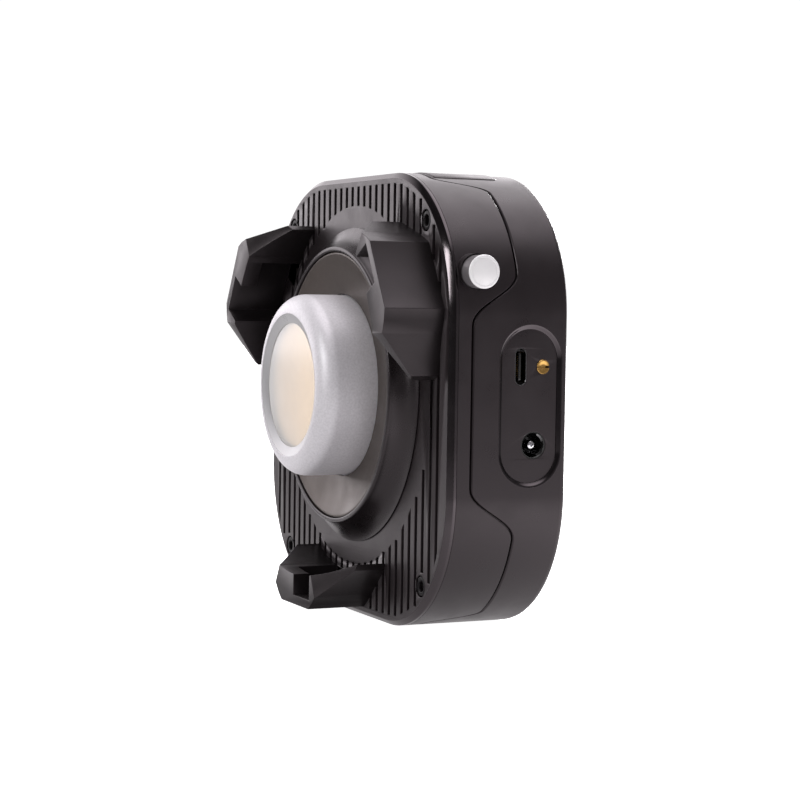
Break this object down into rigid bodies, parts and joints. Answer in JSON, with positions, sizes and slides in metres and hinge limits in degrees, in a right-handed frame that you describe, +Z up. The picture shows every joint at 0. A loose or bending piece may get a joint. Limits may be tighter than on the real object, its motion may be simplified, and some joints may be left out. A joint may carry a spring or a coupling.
{
  "type": "compact studio light",
  "caption": "Compact rounded-square studio light with a silver lamp collar, slotted front plate and pop-up three-claw modifier mount.",
  "frame": {"origin": "on the optical axis, in the plane of the front plate's face", "axes": "-Y is the direction the light shines, +Z is up, +X is the side with the ports"},
  "size_m": [0.1172, 0.0523, 0.1121],
  "materials": {
    "casing": "satin dark warm grey",
    "plate": "satin dark warm grey with a polished bevel",
    "claw": "satin near-black grey, glass-filled",
    "collar": "satin near-black",
    "trim": "matt brownish grey",
    "silver": "fine satin, anodised",
    "diffuser": "clear cover glass",
    "emitter": "yellow phosphor",
    "ceramic": "white ceramic-filled plastic",
    "raw_aluminium": "milled",
    "steel": "bright",
    "black_steel": "black oxide",
    "spring_steel": "drawn wire",
    "rubber": "matt",
    "black_plastic": "satin",
    "gloss_black": "polished",
    "board": "solder-masked board",
    "brass": "polished",
    "chrome": "polished",
    "wire": "red insulation"
  },
  "bodies": {
    "body": {"front_grille": "plate", "grille_screws": "black_steel", "mount_collar": "collar", "trim_ring": "trim", "lamp_collar": "silver", "lamp_seal": "rubber", "reflector": "silver", "front_glass": "diffuser", "led_holder": "ceramic", "led_emitter": "emitter", "led_board": "raw_aluminium", "heat_plate": "raw_aluminium", "heat_sink": "raw_aluminium", "sink_screws": "steel", "guide_posts": "steel", "carrier_springs": "spring_steel", "front_shell": "casing", "rear_shell": "casing", "top_insert": "casing", "button_spring": "spring_steel", "latch_pin": "steel", "fan_frame": "black_plastic", "fan_shaft": "steel", "fan_screws": "steel", "driver_board": "board", "driver_parts": "black_plastic", "port_plate": "casing", "usb_shell": "chrome", "usb_tongue": "black_plastic", "contact_pin": "brass", "jack_body": "black_plastic", "jack_pin": "chrome", "jack_springs": "chrome", "control_board": "board", "encoder_bodies": "steel", "display_module": "gloss_black", "display_window": "gloss_black", "back_cover": "casing", "back_screws": "black_steel", "tripod_bush": "steel", "led_wires": "wire"},
    "claws": {"claw_top_right": "claw", "claw_top_left": "claw", "claw_bottom": "claw", "claw_carrier": "steel", "claw_screws": "steel"},
    "release_button": {"button_cap": "silver", "button_stem": "black_plastic"},
    "latch": {"latch_lever": "steel"},
    "fan": {"fan_rotor": "black_plastic"},
    "brightness_press": {"brightness_plunger": "ceramic"},
    "brightness_knob": {"brightness_shaft": "steel", "brightness_dial": "black_plastic"},
    "colour_press": {"colour_plunger": "ceramic"},
    "colour_knob": {"colour_shaft": "steel", "colour_dial": "black_plastic"},
    "mode_key": {"mode_button": "ceramic"}
  },
  "joints": [
    {"name": "claw_slide", "type": "slide", "parent": "body", "child": "claws", "axis": [0, 1, 0], "range_m": [0, 0.0142], "deforming": ["carrier_springs"]},
    {"name": "button_press", "type": "slide", "parent": "body", "child": "release_button", "axis": [-1, 0, 0], "range_m": [0, 0.0016], "deforming": ["button_spring"]},
    {"name": "latch_turn", "type": "hinge", "parent": "body", "child": "latch", "pos_m": [0.048, 0.0062, 0.034], "axis": [0, 1, 0], "range_deg": [0, 19.6]},
    {"name": "fan_spin", "type": "hinge", "parent": "body", "child": "fan", "pos_m": [0, 0.0235, 0], "axis": [0, 1, 0], "continuous": true},
    {"name": "brightness_push", "type": "slide", "parent": "body", "child": "brightness_press", "axis": [0, -1, 0], "range_m": [0, 0.0005]},
    {"name": "brightness_turn", "type": "hinge", "parent": "brightness_press", "child": "brightness_knob", "pos_m": [-0.031, 0.031, -0.0385], "axis": [0, 1, 0], "continuous": true},
    {"name": "colour_push", "type": "slide", "parent": "body", "child": "colour_press", "axis": [0, -1, 0], "range_m": [0, 0.0005]},
    {"name": "colour_turn", "type": "hinge", "parent": "colour_press", "child": "colour_knob", "pos_m": [0.031, 0.031, -0.0385], "axis": [0, 1, 0], "continuous": true},
    {"name": "mode_press", "type": "slide", "parent": "body", "child": "mode_key", "axis": [0, -1, 0], "range_m": [0, 0.0005]}
  ],
  "couplings": [
    {"joint": "latch_turn", "follows": "button_press", "rad_per_m": 211.6}
  ]
}
